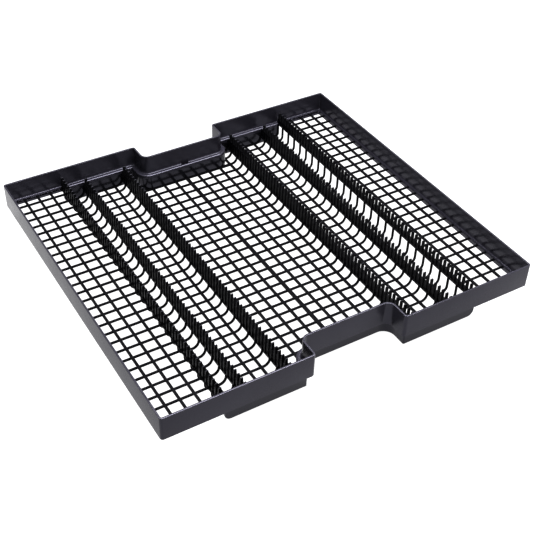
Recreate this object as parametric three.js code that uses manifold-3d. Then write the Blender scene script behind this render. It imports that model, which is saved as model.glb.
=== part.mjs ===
// Cutlery drawer insert for the top level of a 60 cm dishwasher.
// The real thing is one black plastic moulding: a side wall with a notch in its front and its back, a
// floor at two levels, and six upright combs that hold forks, knives and spoons apart.
// Here each section of the moulding is its own solid, and neighbours stand clearance apart.
// Millimetres, +Z up. The origin is the centre of the footprint, at the underside of the deep floor.

import * as THREE from 'three';
import Module from 'manifold-3d';
import { mergeVertices } from 'three/addons/utils/BufferGeometryUtils.js';

const wasm = await Module();
wasm.setup();

// Overall size
const width = 500;
const depth = 468;
const height = 51;
const clearance = 0.3;
const mitreClearance = 0.2;

// Side wall, its notches and the ledge inside it
const wallThickness = 2.3;
const skirtBottom = 18;
const notchHalfWidth = 60.7;
const notchDepth = 30.7;
const notchFilletRadius = 10;
const notchFilletSteps = 4;
const coveReach = 1.7;
const coveTop = 28.9;
const basinInset = 6.3;
const ledgeInnerInset = basinInset + wallThickness;

// Floor bars
const barHeight = 2.4;
const barWidth = 3;
const ribWidth = 2.3;
const shelfBottom = 22.1;
const shelfTop = shelfBottom + barHeight;
const ribPitch = depth / 28.66;
const legStride = 2;
const centreBarWidth = 5.6;
const centreBarPitch = 17.8;
const troughBarPitch = 15.35;
const shelfBarPitch = 17.7;
const shelfMiddleBarAt = 209.1;
const sideFrameInset = 6.9;
const endFrameInset = 10.1;
const shelfEndInset = 7.8;
const centreEndFrame = 1.2;

// Combs, at their distances from the middle of the insert
const combThickness = 4.4;
const outerCombAt = 172.2;
const middleCombAt = 141.4;
const innerCombAt = 84.5;
const toothPitch = ribPitch * 4 / 9;
const toothRootWidth = 2.6;
const toothTipWidth = 1.6;
const legRadius = 8.5;
const legArcSteps = 1;
const narrowTroughBarAt = 155;
const troughBarAt = (middleCombAt + innerCombAt) / 2;

const halfWidth = width / 2;
const halfDepth = depth / 2;
const notchWallAt = halfDepth - notchDepth;
const blackPlastic = { roughness: 0.5, metalness: 0 };

// ---- Solids from outlines -------------------------------------------------------------------------

// An outline pushed straight up from low to high.
function plate(outline, low, high) {
  const geometry = new THREE.ExtrudeGeometry(outline, { depth: high - low, bevelEnabled: false });
  return geometry.translate(0, 0, low);
}

// An outline drawn in Y and Z, as thick as given along X, about its middle.
function slabAcrossX(outline, thickness) {
  const geometry = new THREE.ExtrudeGeometry(outline, { depth: thickness, bevelEnabled: false });
  geometry.translate(0, 0, -thickness / 2);
  const alongY = new THREE.Vector3(0, 1, 0);
  const alongZ = new THREE.Vector3(0, 0, 1);
  const alongX = new THREE.Vector3(1, 0, 0);
  return geometry.applyMatrix4(new THREE.Matrix4().makeBasis(alongY, alongZ, alongX));
}

// An outline drawn in X and Z, as thick as given along Y, about its middle.
function slabAcrossY(outline, thickness) {
  const geometry = new THREE.ExtrudeGeometry(outline, { depth: thickness, bevelEnabled: false });
  geometry.translate(0, 0, -thickness / 2);
  return geometry.rotateX(Math.PI / 2);
}

function outlineOf(points) {
  return new THREE.Shape(points.map(([x, y]) => new THREE.Vector2(x, y)));
}

function rectangle(left, right, front, back) {
  return outlineOf([[left, front], [right, front], [right, back], [left, back]]);
}

// ---- Joining --------------------------------------------------------------------------------------

function solidFrom(geometry) {
  const bare = geometry.index ? geometry.toNonIndexed() : geometry.clone();
  bare.deleteAttribute('normal');
  bare.deleteAttribute('uv');
  const merged = mergeVertices(bare);
  return new wasm.Manifold(new wasm.Mesh({
    numProp: 3,
    vertProperties: new Float32Array(merged.attributes.position.array),
    triVerts: new Uint32Array(merged.index.array),
  }));
}

function joined(geometries) {
  const solid = geometries.map(solidFrom).reduce((whole, piece) => whole.add(piece));
  const mesh = solid.getMesh();
  const geometry = new THREE.BufferGeometry();
  geometry.setAttribute('position', new THREE.BufferAttribute(new Float32Array(mesh.vertProperties), 3));
  geometry.setIndex(new THREE.BufferAttribute(new Uint32Array(mesh.triVerts), 1));
  geometry.computeVertexNormals();
  return geometry;
}

// ---- Walls ----------------------------------------------------------------------------------------

// A wall that follows a run of the outline. run(inset) gives the run's points at that distance in from
// the outer face, and the profile's points are pairs of inset and height.
function wallAlong(run, profile) {
  const tracks = profile.map(([inset, z]) => run(inset).map(([x, y]) => [x, y, z]));
  const stations = tracks[0].length;
  const corners = profile.length;
  const positions = tracks.flat(2);
  const at = (corner, station) => (corner % corners) * stations + station;
  const index = [];
  for (let corner = 0; corner < corners; corner += 1) {
    for (let station = 0; station + 1 < stations; station += 1) {
      const near = at(corner, station);
      const far = at(corner, station + 1);
      const nextNear = at(corner + 1, station);
      const nextFar = at(corner + 1, station + 1);
      index.push(near, nextFar, far, near, nextNear, nextFar);
    }
  }
  const section = profile.map(([inset, z]) => new THREE.Vector2(inset, z));
  for (const [a, b, c] of THREE.ShapeUtils.triangulateShape(section, [])) {
    index.push(at(a, 0), at(c, 0), at(b, 0));
    index.push(at(a, stations - 1), at(b, stations - 1), at(c, stations - 1));
  }
  const geometry = new THREE.BufferGeometry();
  geometry.setAttribute('position', new THREE.Float32BufferAttribute(positions, 3));
  geometry.setIndex(index);
  geometry.computeVertexNormals();
  return geometry;
}

const skirtProfile = [
  [0, skirtBottom],
  [wallThickness, skirtBottom],
  [wallThickness, shelfTop + clearance],
  [wallThickness + coveReach, shelfTop + clearance],
  [wallThickness, coveTop],
  [wallThickness, height],
  [0, height],
];

const basinProfile = [
  [wallThickness + clearance, shelfBottom],
  [basinInset, shelfBottom],
  [basinInset, 0],
  [ledgeInnerInset, 0],
  [ledgeInnerInset, shelfTop],
  [wallThickness + clearance, shelfTop],
];

// Runs of the outline for the front left quarter. Their ends are mitred where two runs meet at a corner.
function sideRun(inset) {
  const x = -halfWidth + inset;
  const end = halfDepth - inset - mitreClearance;
  return [[x, end], [x, -end]];
}

function frontRun(inset) {
  const y = -halfDepth + inset;
  return [[-halfWidth + inset + mitreClearance, y], [-notchHalfWidth - inset - mitreClearance, y]];
}

function frontBasinRun(inset) {
  const start = -outerCombAt + combThickness / 2 + clearance;
  return [[start, -halfDepth + inset], [-notchHalfWidth - inset - mitreClearance, -halfDepth + inset]];
}

function notchSideRun(inset) {
  const x = -notchHalfWidth - inset;
  const end = -notchWallAt - notchFilletRadius - clearance;
  return [[x, -halfDepth + inset + mitreClearance], [x, end]];
}

function notchWallRun(inset) {
  const centreX = notchHalfWidth - notchFilletRadius;
  const centreY = -notchWallAt - notchFilletRadius;
  const radius = notchFilletRadius + inset;
  const leftFillet = [];
  for (let step = 0; step <= notchFilletSteps; step += 1) {
    const angle = Math.PI - step * Math.PI / 2 / notchFilletSteps;
    leftFillet.push([-centreX + radius * Math.cos(angle), centreY + radius * Math.sin(angle)]);
  }
  const rightFillet = leftFillet.map(([x, y]) => [-x, y]).reverse();
  return [...leftFillet, ...rightFillet];
}

// The same run on the other side of the X or Y axis, walked the other way, so faces still point out.
function mirroredInX(run) {
  return (inset) => run(inset).map(([x, y]) => [-x, y]).reverse();
}

function mirroredInY(run) {
  return (inset) => run(inset).map(([x, y]) => [x, -y]).reverse();
}

// ---- Floors ---------------------------------------------------------------------------------------

// Cross ribs whose middles lie within reach of the middle of the insert: all of them, or every stride-th.
function ribsWithin(reach, stride = 1) {
  const spacing = ribPitch * stride;
  const count = Math.floor(reach / spacing);
  const ribs = [];
  for (let number = -count; number <= count; number += 1) {
    ribs.push([number * spacing, ribWidth]);
  }
  return ribs;
}

// The edges met on the way across a grid: frame, gap, bar, gap and so on to the frame's far side.
// Bars are pairs of middle and width, in rising order.
function edgesAcross(frameStart, fieldStart, bars, fieldEnd, frameEnd) {
  const barEdges = bars.flatMap(([middle, size]) => [middle - size / 2, middle + size / 2]);
  return [frameStart, fieldStart, ...barEdges, fieldEnd, frameEnd];
}

// A flat grid between two heights. A cell whose column and row are both odd is a gap.
function lattice(xEdges, yEdges, low, high) {
  const columns = xEdges.length - 1;
  const rows = yEdges.length - 1;
  const positions = [];
  for (const z of [low, high]) {
    for (const x of xEdges) {
      for (const y of yEdges) {
        positions.push(x, y, z);
      }
    }
  }
  const index = [];
  const at = (i, j, level) => (level * (columns + 1) + i) * (rows + 1) + j;
  const quad = (a, b, c, d) => index.push(a, b, c, a, c, d);
  const wall = (i, j, nextI, nextJ) => {
    quad(at(i, j, 0), at(nextI, nextJ, 0), at(nextI, nextJ, 1), at(i, j, 1));
  };
  const isOpen = (column, row) => {
    const outside = column < 0 || row < 0 || column >= columns || row >= rows;
    return outside || (column % 2 === 1 && row % 2 === 1);
  };
  for (let i = 0; i < columns; i += 1) {
    for (let j = 0; j < rows; j += 1) {
      if (isOpen(i, j)) continue;
      quad(at(i, j, 1), at(i + 1, j, 1), at(i + 1, j + 1, 1), at(i, j + 1, 1));
      quad(at(i, j, 0), at(i, j + 1, 0), at(i + 1, j + 1, 0), at(i + 1, j, 0));
      if (isOpen(i, j - 1)) wall(i, j, i + 1, j);
      if (isOpen(i + 1, j)) wall(i + 1, j, i + 1, j + 1);
      if (isOpen(i, j + 1)) wall(i + 1, j + 1, i, j + 1);
      if (isOpen(i - 1, j)) wall(i, j + 1, i, j);
    }
  }
  const geometry = new THREE.BufferGeometry();
  geometry.setAttribute('position', new THREE.Float32BufferAttribute(positions, 3));
  geometry.setIndex(index);
  geometry.computeVertexNormals();
  return geometry;
}

// An open grid: a frame around a field of square-cornered openings between long bars and cross ribs.
function grid(frame, field, longBars, low) {
  const ribs = ribsWithin(field.reach - ribPitch / 2);
  const xEdges = edgesAcross(frame.left, field.left, longBars, field.right, frame.right);
  const yEdges = edgesAcross(-frame.reach, -field.reach, ribs, field.reach, frame.reach);
  return lattice(xEdges, yEdges, low, low + barHeight);
}

function shelfGrid() {
  const edge = outerCombAt + combThickness / 2 + clearance;
  const outer = -halfWidth + wallThickness + clearance;
  const frame = { left: outer, right: -edge, reach: halfDepth - wallThickness - clearance };
  const field = { left: -halfWidth + sideFrameInset, right: -edge - ribWidth, reach: halfDepth - shelfEndInset };
  const bars = [-1, 0, 1].map((number) => [-shelfMiddleBarAt + number * shelfBarPitch, barWidth]);
  return grid(frame, field, bars, shelfBottom);
}

function troughGrid() {
  const frame = {
    left: -troughBarAt - troughBarPitch - barWidth / 2,
    right: -troughBarAt + troughBarPitch + barWidth / 2,
    reach: halfDepth - ledgeInnerInset - clearance,
  };
  const field = {
    left: frame.left + barWidth,
    right: frame.right - barWidth,
    reach: halfDepth - endFrameInset,
  };
  return grid(frame, field, [[-troughBarAt, barWidth]], 0);
}

function centreGrid() {
  const edge = 4 * centreBarPitch + barWidth / 2;
  const reach = notchWallAt - ledgeInnerInset - clearance;
  const frame = { left: -edge, right: edge, reach };
  const field = { left: -edge + barWidth, right: edge - barWidth, reach: reach - centreEndFrame };
  const bars = [-3, -2, -1, 0, 1, 2, 3].map((number) => {
    const size = number === 0 ? centreBarWidth : barWidth;
    return [number * centreBarPitch, size];
  });
  return grid(frame, field, bars, 0);
}

// The last length of the outermost centre bar, which runs on beside the front notch.
function lobeBar() {
  const middle = -4 * centreBarPitch;
  const front = -halfDepth + ledgeInnerInset + clearance;
  const back = -notchWallAt + ledgeInnerInset;
  return plate(rectangle(middle - barWidth / 2, middle + barWidth / 2, front, back), 0, barHeight);
}

// ---- Combs ----------------------------------------------------------------------------------------

// A rail with a row of teeth on its top edge.
function combRail(comb) {
  const points = [[comb.reach, comb.bottom], [comb.reach, comb.webTop]];
  const count = Math.floor((comb.reach - toothRootWidth) / toothPitch);
  for (let number = count; number >= -count; number -= 1) {
    const middle = number * toothPitch;
    points.push([middle + toothRootWidth / 2, comb.webTop]);
    points.push([middle + toothTipWidth / 2, comb.top]);
    points.push([middle - toothTipWidth / 2, comb.top]);
    points.push([middle - toothRootWidth / 2, comb.webTop]);
  }
  points.push([-comb.reach, comb.webTop], [-comb.reach, comb.bottom]);
  return slabAcrossX(outlineOf(points), combThickness);
}

// A floor rib that runs along the floor, bends up in a quarter circle and climbs into the comb.
// face is the comb's face, direction is -1 or 1 away from it, and foot is where the rib ends.
function legOutline(face, direction, foot, climb) {
  const half = barHeight / 2;
  const centreX = face + direction * legRadius;
  const centreZ = half + legRadius;
  const arc = (radius) => {
    const points = [];
    for (let step = 0; step <= legArcSteps; step += 1) {
      const angle = step * Math.PI / 2 / legArcSteps;
      points.push([centreX - direction * radius * Math.sin(angle), centreZ - radius * Math.cos(angle)]);
    }
    return points;
  };
  return outlineOf([
    [foot, 0],
    ...arc(legRadius + half),
    [face - direction * half, climb],
    [face + direction * half, climb],
    ...arc(legRadius - half).reverse(),
    [foot, barHeight],
  ]);
}

function legs(face, direction, foot, climb) {
  const outline = legOutline(face, direction, foot, climb);
  const ribs = ribsWithin(halfDepth - endFrameInset - ribPitch / 2, legStride);
  return ribs.map(([middle]) => slabAcrossY(outline, ribWidth).translate(0, middle, 0));
}

// The combs stand on the left half. Each names the bars that its legs reach.
const outerComb = {
  at: -outerCombAt,
  bottom: shelfBottom,
  webTop: 30.4,
  top: 42.4,
  reach: halfDepth - wallThickness - coveReach - clearance,
};
const middleComb = { at: -middleCombAt, bottom: 9, webTop: 24, top: 35 };
const innerComb = { at: -innerCombAt, bottom: 7.5, webTop: 24, top: 36 };
middleComb.reach = halfDepth - ledgeInnerInset - clearance;
innerComb.reach = middleComb.reach;

function outerCombPiece() {
  const face = combThickness / 2;
  const barAt = outerCombAt - narrowTroughBarAt;
  const reach = halfDepth - ledgeInnerInset - clearance;
  const bar = plate(rectangle(barAt - barWidth / 2, barAt + barWidth / 2, -reach, reach), 0, barHeight);
  return joined([combRail(outerComb), bar, ...legs(face, 1, barAt, outerComb.bottom + barHeight)]);
}

// leftBar and rightBar are the middles of the floor bars on either side of the comb.
function combPiece(comb, leftBar, rightBar) {
  const face = combThickness / 2;
  const stop = barWidth / 2 + clearance;
  const climb = comb.bottom + barHeight;
  return joined([
    combRail(comb),
    ...legs(-face, -1, leftBar - comb.at + stop, climb),
    ...legs(face, 1, rightBar - comb.at - stop, climb),
  ]);
}

// ---- The insert -----------------------------------------------------------------------------------

const insert = new THREE.Group();

function add(name, geometry, colour, x = 0) {
  const material = new THREE.MeshStandardMaterial({ color: colour, ...blackPlastic });
  const mesh = new THREE.Mesh(geometry, material);
  mesh.name = name;
  mesh.position.x = x;
  insert.add(mesh);
  return mesh;
}

// A half turn about the vertical axis takes any left piece to its opposite number on the right.
function addTurned(name, geometry, colour, x = 0) {
  const mesh = add(name, geometry, colour, -x);
  mesh.rotation.z = Math.PI;
}

const wallColour = 0x35363b;
const floorColour = 0x131316;
const combColour = 0x1b1b1f;

function addWalls(suffix, profile, frontLeftRun) {
  const pieces = {
    front_left: frontLeftRun,
    front_right: mirroredInX(frontLeftRun),
    back_left: mirroredInY(frontLeftRun),
    back_right: mirroredInX(mirroredInY(frontLeftRun)),
    front_notch_left: notchSideRun,
    front_notch_right: mirroredInX(notchSideRun),
    back_notch_left: mirroredInY(notchSideRun),
    back_notch_right: mirroredInX(mirroredInY(notchSideRun)),
    front_notch: notchWallRun,
    back_notch: mirroredInY(notchWallRun),
  };
  for (const [place, run] of Object.entries(pieces)) {
    add(`${place}_${suffix}`, wallAlong(run, profile), wallColour);
  }
}

add('left_side_wall', wallAlong(sideRun, skirtProfile), wallColour);
add('right_side_wall', wallAlong(mirroredInX(sideRun), skirtProfile), wallColour);
addWalls('wall', skirtProfile, frontRun);
addWalls('basin_wall', basinProfile, frontBasinRun);

add('left_shelf_grid', shelfGrid(), floorColour);
addTurned('right_shelf_grid', shelfGrid(), floorColour);
add('left_trough_grid', troughGrid(), floorColour);
addTurned('right_trough_grid', troughGrid(), floorColour);
add('centre_grid', centreGrid(), floorColour);

add('front_left_lobe_bar', lobeBar(), floorColour);
addTurned('back_right_lobe_bar', lobeBar(), floorColour);
add('front_right_lobe_bar', lobeBar(), floorColour, 8 * centreBarPitch);
addTurned('back_left_lobe_bar', lobeBar(), floorColour, 8 * centreBarPitch);

const middlePiece = combPiece(middleComb, -narrowTroughBarAt, -troughBarAt - troughBarPitch);
const innerPiece = combPiece(innerComb, -troughBarAt + troughBarPitch, -4 * centreBarPitch);
add('left_outer_comb', outerCombPiece(), combColour, outerComb.at);
add('left_middle_comb', middlePiece, combColour, middleComb.at);
add('left_inner_comb', innerPiece, combColour, innerComb.at);
addTurned('right_outer_comb', outerCombPiece(), combColour, outerComb.at);
addTurned('right_middle_comb', middlePiece.clone(), combColour, middleComb.at);
addTurned('right_inner_comb', innerPiece.clone(), combColour, innerComb.at);

export default insert;
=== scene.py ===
"""Cutlery drawer insert for a dishwasher: one black plastic moulding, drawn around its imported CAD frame.

Shapes are worked out in millimetres, in the CAD frame, and turned into metres when a mesh is made.
"""

import math

import bmesh
import bpy
from mathutils import Matrix, Vector


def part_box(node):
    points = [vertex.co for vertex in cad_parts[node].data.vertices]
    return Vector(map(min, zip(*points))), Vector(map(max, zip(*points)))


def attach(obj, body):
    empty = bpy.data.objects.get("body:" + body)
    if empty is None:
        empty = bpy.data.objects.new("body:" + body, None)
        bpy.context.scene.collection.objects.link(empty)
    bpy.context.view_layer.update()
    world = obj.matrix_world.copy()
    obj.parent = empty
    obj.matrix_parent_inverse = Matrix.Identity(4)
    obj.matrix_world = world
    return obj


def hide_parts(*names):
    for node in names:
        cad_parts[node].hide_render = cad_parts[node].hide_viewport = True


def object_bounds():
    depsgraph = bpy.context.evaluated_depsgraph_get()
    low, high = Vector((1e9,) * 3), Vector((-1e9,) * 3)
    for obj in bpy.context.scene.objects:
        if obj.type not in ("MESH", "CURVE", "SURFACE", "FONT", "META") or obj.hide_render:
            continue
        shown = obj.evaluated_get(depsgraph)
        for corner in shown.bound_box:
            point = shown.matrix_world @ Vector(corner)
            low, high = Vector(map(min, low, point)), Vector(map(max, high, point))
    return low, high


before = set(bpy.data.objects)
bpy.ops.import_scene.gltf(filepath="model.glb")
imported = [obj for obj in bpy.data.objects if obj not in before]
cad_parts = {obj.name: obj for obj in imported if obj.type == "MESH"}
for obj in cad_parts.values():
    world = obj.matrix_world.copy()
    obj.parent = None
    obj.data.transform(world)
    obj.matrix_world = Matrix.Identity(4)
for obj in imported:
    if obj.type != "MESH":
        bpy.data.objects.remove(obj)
cad_low, cad_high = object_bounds()

MM = 0.001
BODY = "root"


def extent(node):
    """Lowest and highest corner of a CAD node, in millimetres."""
    low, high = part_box(node)
    return [value / MM for value in low], [value / MM for value in high]


# ---- Sizes from the frame -------------------------------------------------------------------------
HALF_WIDTH = cad_high[0] / MM
HALF_DEPTH = cad_high[1] / MM
RIM = cad_high[2] / MM
SKIRT_BOTTOM = extent("left_side_wall")[0][2]
NOTCH_HALF_WIDTH = -extent("front_notch_left_wall")[1][0]
SHELF_BOTTOM = extent("left_shelf_grid")[0][2]
SHELF_TOP = extent("left_shelf_grid")[1][2]
BAR_HEIGHT = extent("centre_grid")[1][2]

# ---- Sizes of the moulding ------------------------------------------------------------------------
# Walls and ledge. An inset is a distance in from the outer wall's outer face.
WALL = 2.3
NOTCH_DEPTH = 30.7
NOTCH_WALL_AT = HALF_DEPTH - NOTCH_DEPTH
BASIN_INSET = 6.3
FRONT_BASIN_INSET = 4.9
LEDGE_INSET = BASIN_INSET + WALL
COVE_REACH = 1.7
LEDGE_CROWN = 2.8
LEDGE_DROP = 1.2
SHELF_LEDGE_DROP = 0.2
COVE_TOP = 28.9
RIM_ROUND = 0.25
FOOT_ROUND = 0.8

# The pocket is the slot sunk into the ledge over the middle of each notch wall.
POCKET_HALF_WIDTH = 5.5
POCKET_COVE_REACH = 0.3
POCKET_BEYOND_COVE = 1.6
POCKET_DEPTH = 3.5
STEP_WIDTH = 0.1
UNDERSIDE_ROUND = 0.4

OUTER_CORNER_RADIUS = 3.5
NOTCH_CORNER_RADIUS = 4.0
NOTCH_FILLET_RADIUS = 8.5
INNER_CORNER_RADIUS = 1.5
BASIN_END = 172.0
BASIN_END_RADIUS = 8.0
BASIN_OVERLAP = 0.3
BASIN_EDGE_ROUND = 0.5

# Floors. Bars run from front to back, ribs run across, and a pitch is from middle to middle.
BAR_WIDTH = 3.1
RIB_WIDTH = 2.4
RIB_PITCHES_DEEP = 28.66
RIB_PITCH = 2 * HALF_DEPTH / RIB_PITCHES_DEEP
END_FRAME_INSET = 10.1
SHELF_END_INSET = 7.8
SIDE_LEDGE_INSET = 6.9
CENTRE_BAR_WIDTH = 4.6
CENTRE_BAR_PITCH = 17.8
TROUGH_BAR_PITCH = 15.35
SHELF_BAR_PITCH = 17.7
SHELF_MIDDLE_BAR_AT = 209.1
SHELF_BORDER = 0.8
NOTCH_STRIP = 1.3
CORNER_RIB_LENGTH = 11.0
NARROW_TROUGH_BAR_AT = 155.0

# How far a floor runs into its neighbours
COMB_OVERLAP = 0.3
LEDGE_OVERLAP = 1.0
END_OVERLAP = 1.7

# Combs, at their distances from the middle, and the curved ribs that rise into them
INNER_COMB_AT = 84.5
MIDDLE_COMB_AT = 141.4
OUTER_COMB_AT = 172.2
TROUGH_AT = (MIDDLE_COMB_AT + INNER_COMB_AT) / 2
COMB_HALF_DEPTH = 2.2
COMB_TIP_HALF_DEPTH = 1.7
COMB_WEB_HALF = 0.9
COMB_BASE_HEIGHT = 3.0
TOOTH_PITCH = RIB_PITCH * 4 / 9
TOOTH_HALF_WIDTH = 1.12
LEG_RADIUS = 8.5
LEG_STEPS = 6

# How far a curved rib goes on above its bend, into its comb
INNER_CLIMB = 0.8
MIDDLE_CLIMB = 1.5
OUTER_CLIMB = SHELF_BOTTOM - BAR_HEIGHT / 2 - LEG_RADIUS + MIDDLE_CLIMB

# Edges sharper than ROUND_ABOVE_DEGREES are rounded.
EDGE_ROUND = 0.3
COMB_EDGE_ROUND = 0.18
SMOOTH_BELOW_DEGREES = 35
ROUND_ABOVE_DEGREES = 50


# ---- Meshes ---------------------------------------------------------------------------------------
def add_piece(name, points, faces, material, replaced, bevel=EDGE_ROUND, bevel_segments=2):
    """Makes one visible piece from points in millimetres, rounds its edges and hangs it on the frame."""
    mesh = bpy.data.meshes.new(name)
    mesh.from_pydata([(x * MM, y * MM, z * MM) for x, y, z in points], [], faces)
    shaper = bmesh.new()
    shaper.from_mesh(mesh)
    bmesh.ops.recalc_face_normals(shaper, faces=shaper.faces[:])
    shaper.to_mesh(mesh)
    shaper.free()
    mesh.shade_smooth()
    mesh.set_sharp_from_angle(angle=math.radians(SMOOTH_BELOW_DEGREES))
    mesh.materials.append(material)
    piece = bpy.data.objects.new(name, mesh)
    bpy.context.scene.collection.objects.link(piece)
    if bevel:
        rounding = piece.modifiers.new("rounded_edges", "BEVEL")
        rounding.width = bevel * MM
        rounding.segments = bevel_segments
        rounding.limit_method = "ANGLE"
        rounding.angle_limit = math.radians(ROUND_ABOVE_DEGREES)
        rounding.harden_normals = True
    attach(piece, BODY)
    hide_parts(*replaced)


def blocks(x_edges, y_edges, z_edges, solid, shape=None):
    """A closed skin around the cells of a block grid whose middle is solid; shape then moves its points."""
    edges = (sorted(set(x_edges)), sorted(set(y_edges)), sorted(set(z_edges)))
    middles = [[(a + b) / 2 for a, b in zip(axis, axis[1:])] for axis in edges]
    filled = {
        (i, j, k)
        for i, x in enumerate(middles[0])
        for j, y in enumerate(middles[1])
        for k, z in enumerate(middles[2])
        if solid(x, y, z)
    }
    numbers = {}
    points = []

    def number(i, j, k):
        if (i, j, k) not in numbers:
            numbers[(i, j, k)] = len(points)
            place = (edges[0][i], edges[1][j], edges[2][k])
            points.append(shape(*place) if shape else place)
        return numbers[(i, j, k)]

    sides = (
        ((1, 0, 0), ((1, 0, 0), (1, 1, 0), (1, 1, 1), (1, 0, 1))),
        ((-1, 0, 0), ((0, 0, 0), (0, 0, 1), (0, 1, 1), (0, 1, 0))),
        ((0, 1, 0), ((0, 1, 0), (0, 1, 1), (1, 1, 1), (1, 1, 0))),
        ((0, -1, 0), ((0, 0, 0), (1, 0, 0), (1, 0, 1), (0, 0, 1))),
        ((0, 0, 1), ((0, 0, 1), (1, 0, 1), (1, 1, 1), (0, 1, 1))),
        ((0, 0, -1), ((0, 0, 0), (0, 1, 0), (1, 1, 0), (1, 0, 0))),
    )
    faces = []
    for i, j, k in sorted(filled):
        for (di, dj, dk), corners in sides:
            if (i + di, j + dj, k + dk) not in filled:
                faces.append(tuple(number(i + a, j + b, k + c) for a, b, c in corners))
    return points, faces


def between(value, middles, half):
    """True if the value lies within half of one of the middles."""
    return any(abs(value - middle) < half for middle in middles)


def quarter_turn(steps):
    """The (sine, cosine) pairs round a quarter circle."""
    angles = [step / steps * math.pi / 2 for step in range(steps + 1)]
    return [(math.sin(angle), math.cos(angle)) for angle in angles]


# ---- Materials ------------------------------------------------------------------------------------
def black_plastic(name, dark, light, roughness, gloss):
    """Moulded polypropylene: near black, half matt, with a fine grain and faint flow marks."""
    material = bpy.data.materials.new(name)
    material.use_nodes = True
    nodes = material.node_tree.nodes
    links = material.node_tree.links
    shader = nodes["Principled BSDF"]
    shader.inputs["Specular IOR Level"].default_value = gloss
    shader.inputs["Specular Tint"].default_value = (0.84, 0.82, 1.0, 1.0)
    place = nodes.new("ShaderNodeTexCoord")

    def noise(scale, detail):
        texture = nodes.new("ShaderNodeTexNoise")
        texture.inputs["Scale"].default_value = scale
        texture.inputs["Detail"].default_value = detail
        links.new(place.outputs["Object"], texture.inputs["Vector"])
        return texture.outputs["Fac"]

    tint = nodes.new("ShaderNodeValToRGB")
    tint.color_ramp.elements[0].position = 0.3
    tint.color_ramp.elements[1].position = 0.7
    tint.color_ramp.elements[0].color = (*dark, 1.0)
    tint.color_ramp.elements[1].color = (*light, 1.0)
    links.new(noise(14.0, 3.0), tint.inputs["Fac"])
    links.new(tint.outputs["Color"], shader.inputs["Base Color"])

    polish = nodes.new("ShaderNodeMapRange")
    polish.inputs["From Min"].default_value = 0.3
    polish.inputs["From Max"].default_value = 0.7
    polish.inputs["To Min"].default_value = roughness[0]
    polish.inputs["To Max"].default_value = roughness[1]
    links.new(noise(45.0, 4.0), polish.inputs["Value"])
    links.new(polish.outputs["Result"], shader.inputs["Roughness"])

    fine = nodes.new("ShaderNodeBump")
    fine.inputs["Strength"].default_value = 0.1
    fine.inputs["Distance"].default_value = 0.0001
    links.new(noise(2200.0, 2.0), fine.inputs["Height"])
    wavy = nodes.new("ShaderNodeBump")
    wavy.inputs["Strength"].default_value = 0.1
    wavy.inputs["Distance"].default_value = 0.001
    links.new(noise(38.0, 2.0), wavy.inputs["Height"])
    links.new(fine.outputs["Normal"], wavy.inputs["Normal"])
    links.new(wavy.outputs["Normal"], shader.inputs["Normal"])
    return material


wall_plastic = black_plastic(
    "wall_plastic",
    dark=(0.016, 0.015, 0.021),
    light=(0.024, 0.023, 0.031),
    roughness=(0.19, 0.25),
    gloss=0.42,
)
# A darker copy of the wall plastic for the basin walls: its darker colour is painted shade for the shadow
# under the ledge, and it is a little glossier
basin_plastic_painted_shade = black_plastic(
    "basin_plastic_painted_shade",
    dark=(0.005, 0.005, 0.007),
    light=(0.009, 0.009, 0.012),
    roughness=(0.14, 0.2),
    gloss=0.45,
)
floor_plastic = black_plastic(
    "floor_plastic",
    dark=(0.002, 0.002, 0.0025),
    light=(0.0035, 0.0035, 0.0042),
    roughness=(0.4, 0.5),
    gloss=0.04,
)
comb_plastic = black_plastic(
    "comb_plastic",
    dark=(0.0025, 0.0025, 0.0032),
    light=(0.0045, 0.0045, 0.0055),
    roughness=(0.3, 0.4),
    gloss=0.15,
)


# ---- The outline of the tray ----------------------------------------------------------------------
# Corners run anticlockwise, seen from above, from the front left one.
def outline_corners():
    """The twelve corners of the outer face, as X, Y, turn and radius."""
    front = [
        (-HALF_WIDTH, -HALF_DEPTH, "out", OUTER_CORNER_RADIUS),
        (-NOTCH_HALF_WIDTH, -HALF_DEPTH, "out", NOTCH_CORNER_RADIUS),
        (-NOTCH_HALF_WIDTH, -NOTCH_WALL_AT, "in", NOTCH_FILLET_RADIUS),
        (NOTCH_HALF_WIDTH, -NOTCH_WALL_AT, "in", NOTCH_FILLET_RADIUS),
        (NOTCH_HALF_WIDTH, -HALF_DEPTH, "out", NOTCH_CORNER_RADIUS),
        (HALF_WIDTH, -HALF_DEPTH, "out", OUTER_CORNER_RADIUS),
    ]
    back = [(-x, -y, turn, radius) for x, y, turn, radius in front]
    return front + back


CORNERS = outline_corners()

# The corners where the front and the back start and end, and the side of the pocket that follows a corner
RUN_STARTS = (0, 6)
RUN_ENDS = (5, 11)
SIDE_CORNERS = RUN_STARTS + RUN_ENDS
POCKET_SIDES = {2: -1, 8: 1}
OUT_STEPS = 5
IN_STEPS = 9


def corner_stations(number):
    """The (number, share) stations round a corner."""
    steps = OUT_STEPS if CORNERS[number][2] == "out" else IN_STEPS
    return [(number, step / steps) for step in range(steps + 1)]


def station_point(number, share, inset):
    """The point round a corner at a share of its turn, so far in from the outer face."""
    x, y, turn, radius = CORNERS[number]
    previous = CORNERS[number - 1]
    following = CORNERS[(number + 1) % len(CORNERS)]
    arriving = Vector((x - previous[0], y - previous[1])).normalized()
    leaving = Vector((following[0] - x, following[1] - y)).normalized()
    inward_arriving = Vector((-arriving.y, arriving.x))
    inward_leaving = Vector((-leaving.y, leaving.x))
    corner = Vector((x, y)) + inset * (inward_arriving + inward_leaving)
    side = 1 if turn == "out" else -1
    bend = max(radius - side * inset, INNER_CORNER_RADIUS)
    centre = corner - arriving * bend + side * inward_arriving * bend
    angle = share * math.pi / 2
    place = centre - side * inward_arriving * bend * math.cos(angle) + arriving * bend * math.sin(angle)
    return place.x, place.y


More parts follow.
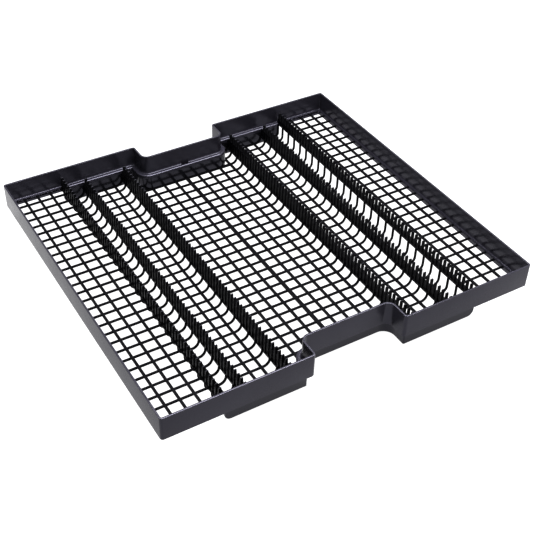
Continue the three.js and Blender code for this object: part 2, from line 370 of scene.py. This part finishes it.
def swept(stations, profile, place, closed):
    """A wall that carries profile(station) along the stations. A profile holds (inset, height) pairs."""
    points = []
    for station in stations:
        for inset, height in profile(station):
            x, y = place(station, inset)
            points.append((x, y, height))
    size = len(profile(stations[0]))
    rings = len(stations)
    faces = []
    for ring in range(rings if closed else rings - 1):
        following = (ring + 1) % rings
        for corner in range(size):
            beside = (corner + 1) % size
            faces.append((
                ring * size + corner,
                following * size + corner,
                following * size + beside,
                ring * size + beside,
            ))
    if not closed:
        faces.append(tuple(range(size)))
        faces.append(tuple(range((rings - 1) * size, rings * size)))
    return points, faces


# ---- Outer wall: skirt, rounded rim, cove and ledge -----------------------------------------------
def skirt_profile(station):
    """Section of the outer wall. At a pocket the cove is cut back and the ledge sinks up to its lip."""
    in_pocket = station[0] == "pocket"
    at_shelf = station[0] == "shelf_end" or station[0] in SIDE_CORNERS
    sunk = POCKET_DEPTH if in_pocket else 0.0
    reach = POCKET_COVE_REACH if in_pocket else COVE_REACH
    drop = SHELF_LEDGE_DROP if at_shelf else LEDGE_DROP
    rim = [(RIM_ROUND * (1 - cosine), RIM - RIM_ROUND * (1 - sine)) for sine, cosine in quarter_turn(4)]
    rim += [(WALL - inset, height) for inset, height in reversed(rim)]
    fall = COVE_TOP - SHELF_TOP + sunk
    cove = [(WALL + reach * (1 - cosine), COVE_TOP - fall * sine) for sine, cosine in quarter_turn(4)]
    pocket_far = WALL + COVE_REACH + POCKET_BEYOND_COVE
    pocket = [
        (WALL + reach + STEP_WIDTH, SHELF_TOP - sunk),
        (pocket_far, SHELF_TOP - sunk),
        (pocket_far + STEP_WIDTH, SHELF_TOP),
    ]
    lip = [
        (LEDGE_INSET - LEDGE_CROWN * (1 - sine), SHELF_TOP - drop * (1 - cosine))
        for sine, cosine in quarter_turn(8)
    ]
    ledge_bottom = SHELF_BOTTOM - POCKET_DEPTH
    underside = [
        (LEDGE_INSET, ledge_bottom + UNDERSIDE_ROUND),
        (LEDGE_INSET - UNDERSIDE_ROUND, ledge_bottom),
        (WALL + STEP_WIDTH, ledge_bottom),
        (WALL, ledge_bottom - STEP_WIDTH),
        (WALL, SKIRT_BOTTOM + FOOT_ROUND),
        (WALL - FOOT_ROUND, SKIRT_BOTTOM),
        (FOOT_ROUND, SKIRT_BOTTOM),
        (0.0, SKIRT_BOTTOM + FOOT_ROUND),
    ]
    return rim + cove + pocket + lip + underside


def skirt_place(station, inset):
    """Where a point of the section goes. The ledge round a shelf is narrower than elsewhere."""
    if station[0] in ("flush", "pocket"):
        return station[1], station[2] * (NOTCH_WALL_AT - inset)
    share = min(max((inset - WALL) / (LEDGE_INSET - WALL), 0), 1)
    if station[0] == "shelf_end":
        return station[1], station[2] * (HALF_DEPTH - inset + share * (LEDGE_INSET - SHELF_END_INSET))
    if station[0] == "comb_end":
        return station[1], station[2] * (HALF_DEPTH - inset)
    x, y = station_point(station[0], station[1], inset)
    if station[0] in SIDE_CORNERS:
        x += math.copysign(share * (LEDGE_INSET - SIDE_LEDGE_INSET), x)
        y += math.copysign(share * (LEDGE_INSET - SHELF_END_INSET), y)
    return x, y


PLACES = (
    "front_left", "front_right", "back_left", "back_right",
    "front_notch_left", "front_notch_right", "back_notch_left", "back_notch_right",
    "front_notch", "back_notch",
)


def pocket_stations(side):
    """Stations of the slot in the ledge over the middle of a notch wall."""
    edge = POCKET_HALF_WIDTH
    floor_edge = edge - STEP_WIDTH
    run = [("flush", -edge), ("pocket", -floor_edge), ("pocket", floor_edge), ("flush", edge)]
    return [(kind, -side * x, side) for kind, x in run]


def shelf_end_stations(number):
    """Where the narrow ledge of a shelf gives way to the wider, crowned one beyond the outer comb."""
    side_x = math.copysign(1, CORNERS[number][0])
    side_y = math.copysign(1, CORNERS[number][1])
    run = [
        ("shelf_end", side_x * (OUTER_COMB_AT + STEP_WIDTH), side_y),
        ("comb_end", side_x * OUTER_COMB_AT, side_y),
    ]
    return run if number in RUN_STARTS else run[::-1]


def add_outer_wall():
    """One skin all the way round: the walls, their cove and the ledge."""
    stations = []
    for number in range(len(CORNERS)):
        if number in RUN_ENDS:
            stations += shelf_end_stations(number)
        stations += corner_stations(number)
        if number in RUN_STARTS:
            stations += shelf_end_stations(number)
        if number in POCKET_SIDES:
            stations += pocket_stations(POCKET_SIDES[number])
    points, faces = swept(stations, skirt_profile, skirt_place, closed=True)
    replaced = ["left_side_wall", "right_side_wall"] + [f"{place}_wall" for place in PLACES]
    add_piece("outer_wall", points, faces, wall_plastic, replaced, bevel=0)


# ---- Basin walls: the deep part's front and back --------------------------------------------------
def basin_profile(station):
    """Section of a basin wall. An end station says how far its underside is raised."""
    rise = station[3] if len(station) > 3 else 0.0
    top = SHELF_BOTTOM - POCKET_DEPTH + BASIN_OVERLAP
    return [
        (BASIN_INSET, top),
        (BASIN_INSET, BASIN_EDGE_ROUND + rise),
        (BASIN_INSET + BASIN_EDGE_ROUND, rise),
        (LEDGE_INSET, rise),
        (LEDGE_INSET, top),
    ]


def basin_stations():
    """From one end of the front, round the notch, to the other end. The ends' bottoms are rounded."""
    end = [
        (BASIN_END - BASIN_END_RADIUS * (1 - cosine), BASIN_END_RADIUS * (1 - sine))
        for sine, cosine in quarter_turn(6)
    ]
    end.sort(reverse=True)
    left = [("edge", -x, 0, rise) for x, rise in end]
    right = [("edge", x, 0, rise) for x, rise in reversed(end)]
    round_notch = [station for number in (1, 2, 3, 4) for station in corner_stations(number)]
    return left + round_notch + right


def basin_place(station, inset):
    """The outer face of the long runs stands nearer the front than that of the notch."""
    x, y = (station[1], -HALF_DEPTH + inset) if station[0] == "edge" else station_point(*station, inset)
    nearness = min(max((LEDGE_INSET - inset) / WALL, 0), 1) * (BASIN_INSET - FRONT_BASIN_INSET)
    beyond = min(max((-y - NOTCH_WALL_AT) / NOTCH_DEPTH, 0), 1)
    return x, y - nearness * beyond ** 2


def add_basin_walls():
    """The front wall, and the back one as its mirror image."""
    points, faces = swept(basin_stations(), basin_profile, basin_place, closed=False)
    for place, side in (("front", 1), ("back", -1)):
        shown = [(x, side * y, z) for x, y, z in points]
        replaced = [f"{name}_basin_wall" for name in PLACES if name.startswith(place)]
        # The basin walls take the darker plastic, whose colour is painted shade
        add_piece(f"{place}_basin_wall", shown, faces, basin_plastic_painted_shade, replaced, bevel=0)


# ---- Floors ---------------------------------------------------------------------------------------
def rib_middles(reach):
    """Middles of the cross ribs that lie within reach of the centre line."""
    count = int(reach / RIB_PITCH)
    return [number * RIB_PITCH for number in range(-count, count + 1)]


def bar_edges(middles, half):
    """Both edges of every bar."""
    return [middle + side * half for middle in middles for side in (-1, 1)]


def add_shelf(name, side):
    """The high floor at one end, between the ledge and the outer comb."""
    outer = HALF_WIDTH - SIDE_LEDGE_INSET
    comb = OUTER_COMB_AT + COMB_HALF_DEPTH
    border = comb + SHELF_BORDER
    bars = [SHELF_MIDDLE_BAR_AT + number * SHELF_BAR_PITCH for number in (-1, 0, 1)]
    reach = HALF_DEPTH - SHELF_END_INSET
    ribs = rib_middles(reach - RIB_PITCH / 2)

    def solid(x, y, _):
        framed = x > outer or x < border or abs(y) > reach
        return framed or between(x, bars, BAR_WIDTH / 2) or between(y, ribs, RIB_WIDTH / 2)

    xs = [comb - COMB_OVERLAP, border, outer, outer + LEDGE_OVERLAP] + bar_edges(bars, BAR_WIDTH / 2)
    ys = [-reach - LEDGE_OVERLAP, -reach, reach, reach + LEDGE_OVERLAP] + bar_edges(ribs, RIB_WIDTH / 2)
    zs = [SHELF_BOTTOM, SHELF_TOP]
    points, faces = blocks(xs, ys, zs, solid, lambda x, y, z: (side * x, y, z))
    add_piece(name, points, faces, floor_plastic, [f"{name.split('_')[0]}_shelf_grid"])


def trough_bend(left, right, climb_left, climb_right):
    """A shape function that bends a flat floor up past left and right, and the flat floor's X edges."""
    half = BAR_HEIGHT / 2
    arc = LEG_RADIUS * math.pi / 2

    def shape(x, y, z):
        offset = z - half
        past = x - right if x > right else left - x
        direction = 1 if x > right else -1
        start = right if x > right else left
        if past <= 0:
            return x, y, z
        if past < arc:
            angle = past / LEG_RADIUS
            radius = LEG_RADIUS - offset
            bent_x = start + direction * radius * math.sin(angle)
            return bent_x, y, half + LEG_RADIUS - radius * math.cos(angle)
        return start + direction * (LEG_RADIUS - offset), y, half + LEG_RADIUS + past - arc

    steps = [arc * step / LEG_STEPS for step in range(LEG_STEPS + 1)]
    lefts = [left - step for step in steps] + [left - arc - climb_left]
    rights = [right + step for step in steps] + [right + arc + climb_right]
    return shape, lefts + rights


def add_trough(name, left_face, right_face, bars, climbs, replaced, mirror=1, notch=False):
    """A deep floor between two combs' faces, with ribs that curve up into both combs."""
    left = left_face + LEG_RADIUS
    right = right_face - LEG_RADIUS
    shape, xs = trough_bend(left, right, *climbs)
    reach = HALF_DEPTH - END_FRAME_INSET
    ribs = rib_middles(reach - RIB_PITCH / 2)
    notch_side = NOTCH_HALF_WIDTH + LEDGE_INSET
    notch_reach = NOTCH_WALL_AT - LEDGE_INSET
    corner_rib = notch_side - CORNER_RIB_LENGTH

    def solid(x, y, _):
        if notch and abs(x) < notch_side and abs(y) > notch_reach:
            at_corner = abs(y) < notch_reach + RIB_PITCH / 2 and abs(x) > corner_rib
            return at_corner and between(y, ribs, RIB_WIDTH / 2)
        strip = abs(y) > reach or (notch and abs(x) < notch_side and abs(y) > notch_reach - NOTCH_STRIP)
        on_bar = any(abs(x - middle) < width / 2 for middle, width in bars)
        return strip or on_bar or between(y, ribs, RIB_WIDTH / 2)

    for middle, width in bars:
        xs += [middle - width / 2, middle + width / 2]
    ys = [-reach - END_OVERLAP, -reach, reach, reach + END_OVERLAP] + bar_edges(ribs, RIB_WIDTH / 2)
    if notch:
        xs += [-notch_side, notch_side, -corner_rib, corner_rib]
        ys += [side * (notch_reach - width) for side in (-1, 1) for width in (0, NOTCH_STRIP)]

    def mirrored(x, y, z):
        bent_x, bent_y, bent_z = shape(x, y, z)
        return mirror * bent_x, bent_y, bent_z

    points, faces = blocks(xs, ys, [0.0, BAR_HEIGHT], solid, mirrored)
    add_piece(name, points, faces, floor_plastic, replaced)


# ---- Combs ----------------------------------------------------------------------------------------
# Each comb's distance from the middle, the height of its underside and the top of the web between tines
COMBS = {
    "outer": (OUTER_COMB_AT, SHELF_BOTTOM, 30.4),
    "middle": (MIDDLE_COMB_AT, 9.5, 24.5),
    "inner": (INNER_COMB_AT, 7.5, 24.5),
}

# A tine's round top: how far below the tip, in half widths, and the share of the width that is left there
TIP_ROUNDING = [(1.0, 1.0), (0.5, 0.87), (0.13, 0.5), (0.0, 0.16)]
TOLERANCE = 0.001


def add_comb(side_name, side, kind):
    """A rail with a row of round-topped tines, as long and as high as its CAD node."""
    name = f"{side_name}_{kind}_comb"
    at, bottom, web_top = COMBS[kind]
    _, (_, reach, top) = extent(name)
    count = int((reach - TOOTH_HALF_WIDTH) / TOOTH_PITCH)
    teeth = [number * TOOTH_PITCH for number in range(-count, count + 1)]
    base_top = bottom + COMB_BASE_HEIGHT

    def solid(x, y, z):
        if z < base_top:
            return True
        on_tooth = between(y, teeth, TOOTH_HALF_WIDTH)
        return on_tooth or (z < web_top and abs(x) < COMB_WEB_HALF)

    def shape(x, y, z):
        if abs(x) > COMB_WEB_HALF + TOLERANCE and z > base_top:
            share = (z - base_top) / (top - base_top)
            depth = COMB_HALF_DEPTH + (COMB_TIP_HALF_DEPTH - COMB_HALF_DEPTH) * share
            x = math.copysign(depth, x)
        for below, share in TIP_ROUNDING:
            if abs(z - (top - below * TOOTH_HALF_WIDTH)) < TOLERANCE:
                middle = round(y / TOOTH_PITCH) * TOOTH_PITCH
                y = middle + (y - middle) * share
        return side * (at + x), y, z

    xs = [-COMB_HALF_DEPTH, -COMB_WEB_HALF, COMB_WEB_HALF, COMB_HALF_DEPTH]
    ys = [-reach, reach] + bar_edges(teeth, TOOTH_HALF_WIDTH)
    zs = [bottom, base_top, web_top] + [top - below * TOOTH_HALF_WIDTH for below, _ in TIP_ROUNDING]
    points, faces = blocks(xs, ys, zs, solid, shape)
    add_piece(name, points, faces, comb_plastic, [name], bevel=COMB_EDGE_ROUND, bevel_segments=1)


# ---- The insert -----------------------------------------------------------------------------------
add_outer_wall()
add_basin_walls()

for side_name, side in (("left", -1), ("right", 1)):
    add_shelf(f"{side_name}_shelf_floor", side)
    for kind in COMBS:
        add_comb(side_name, side, kind)
    add_trough(
        f"{side_name}_narrow_trough_floor",
        MIDDLE_COMB_AT + COMB_HALF_DEPTH,
        OUTER_COMB_AT - COMB_HALF_DEPTH,
        [(NARROW_TROUGH_BAR_AT, BAR_WIDTH)],
        (MIDDLE_CLIMB, OUTER_CLIMB),
        [],
        mirror=side,
    )
    add_trough(
        f"{side_name}_trough_floor",
        INNER_COMB_AT + COMB_HALF_DEPTH,
        MIDDLE_COMB_AT - COMB_HALF_DEPTH,
        [(TROUGH_AT + number * TROUGH_BAR_PITCH, BAR_WIDTH) for number in (-1, 0, 1)],
        (INNER_CLIMB, MIDDLE_CLIMB),
        [f"{side_name}_trough_grid"],
        mirror=side,
    )

centre_bars = [(0.0, CENTRE_BAR_WIDTH)]
centre_bars += [(side * number * CENTRE_BAR_PITCH, BAR_WIDTH) for side in (-1, 1) for number in (1, 2, 3, 4)]
inner_face = INNER_COMB_AT - COMB_HALF_DEPTH
lobe_bars = [f"{place}_lobe_bar" for place in ("front_left", "front_right", "back_left", "back_right")]
add_trough(
    "centre_floor",
    -inner_face,
    inner_face,
    centre_bars,
    (INNER_CLIMB, INNER_CLIMB),
    ["centre_grid"] + lobe_bars,
    notch=True,
)


# ---- Floor, light and camera ----------------------------------------------------------------------
def add_ground():
    mesh = bpy.data.meshes.new("ground")
    reach = 6.0
    drop = -0.0003
    corners = [(-reach, -reach, drop), (reach, -reach, drop), (reach, reach, drop), (-reach, reach, drop)]
    mesh.from_pydata(corners, [], [(0, 1, 2, 3)])
    ground = bpy.data.objects.new("ground", mesh)
    bpy.context.scene.collection.objects.link(ground)
    pale = bpy.data.materials.new("pale_floor")
    pale.use_nodes = True
    shader = pale.node_tree.nodes["Principled BSDF"]
    shader.inputs["Base Color"].default_value = (0.1, 0.1, 0.102, 1.0)
    shader.inputs["Roughness"].default_value = 0.9
    shader.inputs["Specular IOR Level"].default_value = 0.1
    shader.inputs["Emission Color"].default_value = (1.0, 1.0, 1.0, 1.0)
    shader.inputs["Emission Strength"].default_value = 1.0
    mesh.materials.append(pale)


def add_light(name, place, aim, power, size):
    lamp = bpy.data.lights.new(name, "AREA")
    lamp.energy = power
    lamp.shape = "RECTANGLE"
    lamp.size, lamp.size_y = size
    light = bpy.data.objects.new(name, lamp)
    light.location = place
    light.visible_camera = False
    light.rotation_euler = (Vector(aim) - Vector(place)).to_track_quat("-Z", "Y").to_euler()
    bpy.context.scene.collection.objects.link(light)


def add_camera():
    """Looks over the front left corner. The angles are of the view, from +Y towards +X, and down."""
    azimuth = math.radians(31.80)
    fall = math.radians(39.994)
    roll = math.radians(1.627)
    ahead = Vector((math.sin(azimuth) * math.cos(fall), math.cos(azimuth) * math.cos(fall), -math.sin(fall)))
    level = ahead.cross(Vector((0, 0, 1))).normalized()
    upward = level.cross(ahead)
    right = level * math.cos(roll) + upward * math.sin(roll)
    up = upward * math.cos(roll) - level * math.sin(roll)
    lens = bpy.data.cameras.new("camera")
    lens.sensor_width = 36.0
    lens.lens = 67.38
    camera = bpy.data.objects.new("camera", lens)
    turn = Matrix((right, up, -ahead)).transposed()
    place = Vector((-0.5157, -0.8589, 0.8207))
    camera.matrix_world = Matrix.Translation(place) @ turn.to_4x4()
    bpy.context.scene.collection.objects.link(camera)
    bpy.context.scene.camera = camera


add_ground()
add_light("key", (0.45, 0.2, 1.8), (0.45, 0.2, 0), 140.0, (1.3, 1.4))
add_light("behind", (1.2, 1.95, 1.9), (0, 0, 0), 4.0, (1.8, 1.0))
add_light("front", (0.8, -1.8, 1.0), (0, 0, 0), 6.0, (1.6, 1.0))
world = bpy.data.worlds.new("studio")
world.use_nodes = True
world.node_tree.nodes["Background"].inputs["Color"].default_value = (1.0, 1.0, 1.0, 1.0)
world.node_tree.nodes["Background"].inputs["Strength"].default_value = 0.6
bpy.context.scene.world = world
bpy.context.scene.view_settings.view_transform = "Standard"
bpy.context.scene.view_settings.gamma = 0.8
add_camera()
